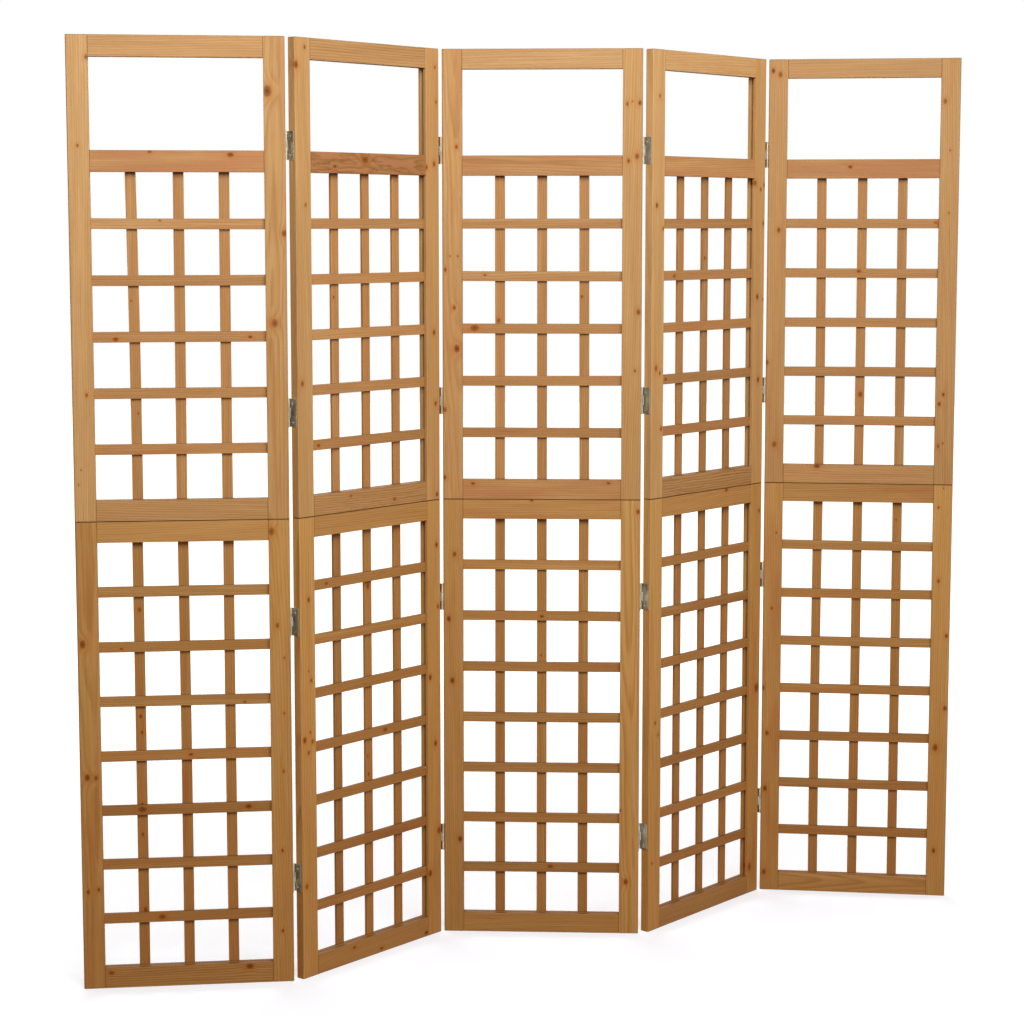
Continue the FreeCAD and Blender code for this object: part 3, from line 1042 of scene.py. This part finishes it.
staples = 0
for panel, foot in PANELS.items():
    rng = np.random.default_rng(700 + panel)
    shell = Shell()
    for half in HALVES.values():
        for z in levels(half):
            for x in UPRIGHTS:
                x_off, z_off, slant = rng.normal(0, 0.8), rng.normal(0, 1.2), rng.normal(0.8, 0.12)
                at = [x + SLAT / 2 + x_off, BACK_OF_SLAT, z + SLAT / 2 + z_off]
                shell.loft(stand(staple(slant) + at, *foot))
                staples += 1
    shell.piece(f"staples_{panel}", f"panel_{panel}", (), "hinge_steel", PLATED)
print(staples, "staples")

# %% [markdown]
# ## Hinges
#
# A leaf is one sheet: a plate screwed to the stile's edge, which runs on in a neck and rolls
# round the pin. The roll is a strip carried along a path, seen from above: straight, a slight
# bend, then most of a circle. The three rolls of a hinge belong to its leaves in turn.

# %% Knuckles
HINGE = 54.0
SHEET = 1.2
OUTER = -GAP / 2
INNER = OUTER + SHEET
BARREL = 2.5
KNUCKLES = 3
KNUCKLE_GAP = 0.3
KNUCKLE = (HINGE - (KNUCKLES - 1) * KNUCKLE_GAP) / KNUCKLES
ROLL = (180, 452)  # degrees round the pin, from the neck to the end of the sheet
SHEET_EASE = 0.15
ROOT = 3.25  # how far from the pin the plate begins


def knuckle(first):
    """The rolled strips of a left leaf: its sheet carried in plan round the pin."""
    middle = BARREL - SHEET / 2
    t = np.linspace(0, 1, 7)[:, None]
    bend = 3 * t ** 2 - 2 * t ** 3
    neck = np.hstack([(OUTER + SHEET / 2) * (1 - bend) - middle * bend, ROOT * (1 - t)])
    a = np.radians(np.linspace(*ROLL, 29)[1:, None])
    path = np.concatenate([neck, middle * np.hstack([np.cos(a), np.sin(a)])])
    ahead = np.gradient(path, axis=0)
    ahead /= np.linalg.norm(ahead, axis=1, keepdims=True)
    side = np.stack([-ahead[:, 1], ahead[:, 0]], -1)
    strips = []
    for k in range(first, KNUCKLES, 2):
        z = k * (KNUCKLE + KNUCKLE_GAP) + KNUCKLE / 2
        section = eased(rectangle(SHEET / 2, KNUCKLE / 2), SHEET_EASE)[0]
        plan = path[:, None] + side[:, None] * section[None, :, :1]
        height = np.broadcast_to(section[:, 1] + z, plan.shape[:2])
        strips.append(np.concatenate([plan, height[..., None]], -1))
    return strips


print("a leaf that grips the pin has", len(knuckle(0)), "knuckles, and the other", len(knuckle(1)))

# %% [markdown]
# ## Plates
#
# A hole can't be cut in a grid of points, so the grid is bent round it. The plate is a ring of
# points that walks from the back of a screw hole up its countersink, out over the face and round
# the edge, once for each of the two screws.

# %% Plates
REACH = 18.2
PLATE_EASE = 0.25
PLATE_RINGS = 5  # a plate's halves are closed to tubes, and are known by this number
SEAT = 2.9
SCREW_Z = (9.0, HINGE - 9.0)
SCREW_Y = (ROOT + REACH) / 2


def frame_of(box, inset, count=8):
    """Points round a rectangle (y0, y1, z0, z1), drawn in by four insets."""
    y0, y1, z0, z1 = np.array(box) + np.array([1, -1, 1, -1]) * inset
    t = np.linspace(0, 1, count, endpoint=False)
    y = np.concatenate([y0 + (y1 - y0) * t, np.full(count, y1), y1 + (y0 - y1) * t, np.full(count, y0)])
    z = np.concatenate([np.full(count, z0), z0 + (z1 - z0) * t, np.full(count, z1), z1 + (z0 - z1) * t])
    return np.stack([y, z], -1)


def plate():
    """Both halves of a left leaf's plate, each a ring of sections round its own screw hole."""
    halves = []
    for z, low, high in ((SCREW_Z[0], 0, HINGE / 2), (SCREW_Z[1], HINGE / 2, HINGE)):
        box = (ROOT, REACH, low, high)
        inset = PLATE_EASE * np.array([0, 1, low == 0, low > 0])
        edge = frame_of(box, 0)
        way = edge - [SCREW_Y, z]
        way /= np.linalg.norm(way, axis=1, keepdims=True)
        rings = [
            (OUTER, [SCREW_Y, z] + way * (SEAT - SHEET)),
            (INNER, [SCREW_Y, z] + way * SEAT),
            (INNER, frame_of(box, inset)),
            (INNER - PLATE_EASE, edge),
            (OUTER, edge),
        ]
        halves.append(np.array([np.column_stack([np.full(len(r), x), r]) for x, r in rings]))
    return halves


print("a plate is", REACH - ROOT, "by", HINGE, "mm")

# %% [markdown]
# ## Screws and pins
#
# Both are turned, so each is a few radii carried round a circle. The cross in a screw's head is
# pressed in afterwards: points near either of its two lines go down.

# %% Screws and pins
PIN = 1.2
HEAD = 2.8
DOME = 0.12
CROSS_ARM = 0.4
CROSS_REACH = 1.5
CROSS_DEPTH = 0.6
SHANK = 1.55


def screw(z):
    """A countersunk screw, turned about x, with a cross pressed into its head."""
    radii = np.array([0.25, 0.6, 0.95, 1.3, 1.65, 2.2, HEAD])
    count = 32
    ring = circle(1.0, count)
    flat = np.array([ring * r for r in radii])
    arm = np.minimum(np.abs(flat[..., 0]), np.abs(flat[..., 1]))
    cross = (arm < CROSS_ARM) * (radii[:, None] < CROSS_REACH)
    dome = DOME * (1 - (radii[:, None] / HEAD) ** 2)
    head = np.concatenate([(dome - CROSS_DEPTH * cross)[..., None], flat], -1)
    shank = [(SHANK, -1.3), (SHANK, -11.0), (0.15, -14.5)]
    stem = np.array([np.column_stack([np.full(count, x), ring * r]) for r, x in shank])
    return np.concatenate([head, stem]) + [INNER, SCREW_Y, z]


def pin():
    """The pin, with slightly domed ends."""
    return turned_bar([(0.8, 0.0), (1.1, 0.15), (PIN, 0.6), (PIN, HINGE - 0.6), (1.1, HINGE - 0.15),
                       (0.8, HINGE)], 20)


print("a screw has", len(screw(0.0)), "rings of points")

# %% [markdown]
# ## Sixteen hinges
#
# One leaf of a hinge is the mirror image of the other, but for its knuckles. Where the pins are
# behind the panels, a hinge is turned half round, so there the leaf that grips the pin is on the
# right-hand panel. All leaves of a panel are one piece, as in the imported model, and so are its pins
# and its screws.

# %% Hanging the panels
HINGE_INSET = 200.0
CENTRES = [base + z for base in (0, HALF) for z in (HINGE_INSET, HALF - HINGE_INSET)]
PIECES = {"leaves": {}, "pins": {}, "screws": {}}
for left, line in HINGE_LINES.items():
    ridge = left in RIDGES
    gripping, turning = (left + 1, left) if ridge else (left, left + 1)
    for panel, first, mirror in ((gripping, 0, 1), (turning, 1, -1)):
        heading = PANELS[panel][2] + (180 if ridge else 0)
        shapes = {"leaves": plate() + knuckle(first), "screws": [screw(z) for z in SCREW_Z]}
        if first == 0:
            shapes["pins"] = [pin()]
        for kind, rings in shapes.items():
            shell = PIECES[kind].setdefault(panel, Shell())
            for centre in CENTRES:
                for ring in rings:
                    low = centre - HINGE / 2
                    placed = stand(ring * [mirror, 1, 1] + [0, 0, low], *line, heading)
                    shell.loft(placed, tube=kind == "leaves" and len(ring) == PLATE_RINGS)
FINISHES = {"leaves": ("hinge_steel", PLATED), "pins": ("pin_steel", PIN_STEEL),
            "screws": ("pin_steel", PIN_STEEL)}
for kind, (slot, finish) in FINISHES.items():
    for panel, shell in PIECES[kind].items():
        nodes = () if kind == "screws" else [f"panel_{panel}_hinge_{kind}"]
        shell.piece(f"{kind}_{panel}", f"panel_{panel}", nodes, slot, finish)
print(len(PIECES["leaves"]), "sets of leaves,", len(PIECES["pins"]), "sets of pins")

# %% [markdown]
# ## Floor and light
#
# The photograph is cut out on white. A wide pale floor under a white world gives nearly that, and
# keeps the soft shadow that the screen stands on. Rays from the camera, and those that mirror or
# pass through things, see them white. All others see a warm fill, stronger from the right and
# from behind, so that the wood isn't washed out and both sides of the screen are lit. The key
# light is a large softbox high in front, so that the tops of the panels are the brightest, as in
# the photograph, and a smaller one lights the backs.

# %% Studio
def seen_rays(shader):
    """1 for rays from the camera and for those that mirror or pass through things, and else 0."""
    rays = [shader.node("ShaderNodeLightPath", {}, (), out=f"Is {kind} Ray")
            for kind in ("Camera", "Glossy", "Transmission")]
    return rays[0].most(rays[1]).most(rays[2])


WHITE = (1.0, 1.0, 1.0)
BLACK = (0.0, 0.0, 0.0)
FLOOR = 14.0
NEAR_AND_FAR = (0.8, 4.0)  # the floor's glow grows from the screen outwards
rim = circle(FLOOR, 96)
floor_mesh = bpy.data.meshes.new("floor")
floor_mesh.from_pydata(np.column_stack([rim, np.zeros(len(rim))]), [], [list(range(len(rim)))])
ground = bpy.data.objects.new("floor", floor_mesh)
bpy.context.scene.collection.objects.link(ground)
paper = Shader("floor_paper")
seen = seen_rays(paper)
east, north, _ = paper.node("ShaderNodeTexCoord", {}, (), out="Object").parts()
glow = 0.38 + (east * east + north * north).root().step(*NEAR_AND_FAR) * 0.54
glow = paper.node("ShaderNodeCombineXYZ", {}, (glow, glow, glow))
paper.finish(Base_Color=paper.blend(seen, (0.17, 0.11, 0.05), srgb(214, 226, 246)), Roughness=0.9,
             Emission_Color=paper.blend(seen, BLACK, glow),
             Emission_Strength=1.0, Specular_IOR_Level=0.0)
floor_mesh.materials.append(paper.material)


class Sky(Shader):
    """The world's nodes, built the same way."""

    def __init__(self):
        self.world = bpy.data.worlds.new("studio")
        self.world.use_nodes = True
        self.tree = self.world.node_tree
        self.surface = self.tree.nodes["Background"]


sky = Sky()
beside, behind, _ = sky.node("ShaderNodeTexCoord", {}, (), out="Generated").parts()
fill = sky.blend(beside.step(-0.8, 0.8), (0.17, 0.12, 0.06), (0.5, 0.335, 0.155))
fill = sky.blend(behind.step(-0.1, 0.5), fill, (0.8, 0.66, 0.5))
sky.feed(sky.surface.inputs["Color"], sky.blend(seen_rays(sky), fill, WHITE))
bpy.context.scene.world = sky.world


def softbox(name, place, target, size, power):
    """An area lamp at a place, in metres, turned to its target."""
    lamp = bpy.data.lights.new(name, "AREA")
    lamp.shape = "RECTANGLE"
    lamp.size, lamp.size_y = size
    lamp.energy = power
    thing = bpy.data.objects.new(name, lamp)
    back = np.array(place, float) - np.array(target, float)
    thing.location = place
    tilt, turn = np.arctan2(np.hypot(*back[:2]), back[2]), np.arctan2(back[0], -back[1])
    thing.rotation_euler = (tilt, 0.0, turn)
    bpy.context.scene.collection.objects.link(thing)


softbox("key", (0.75, -2.5, 3.1), (0.0, 0.0, 2.8), (3.4, 2.0), 140)
softbox("back", (-0.8, 2.8, 2.9), (0.0, 0.0, 1.2), (3.0, 1.6), 60)

# %% [markdown]
# ## Done
#
# The view shows the colours as they are, with the Standard view transform.

# %% View
view = bpy.context.scene.view_settings
view.view_transform = "Standard"
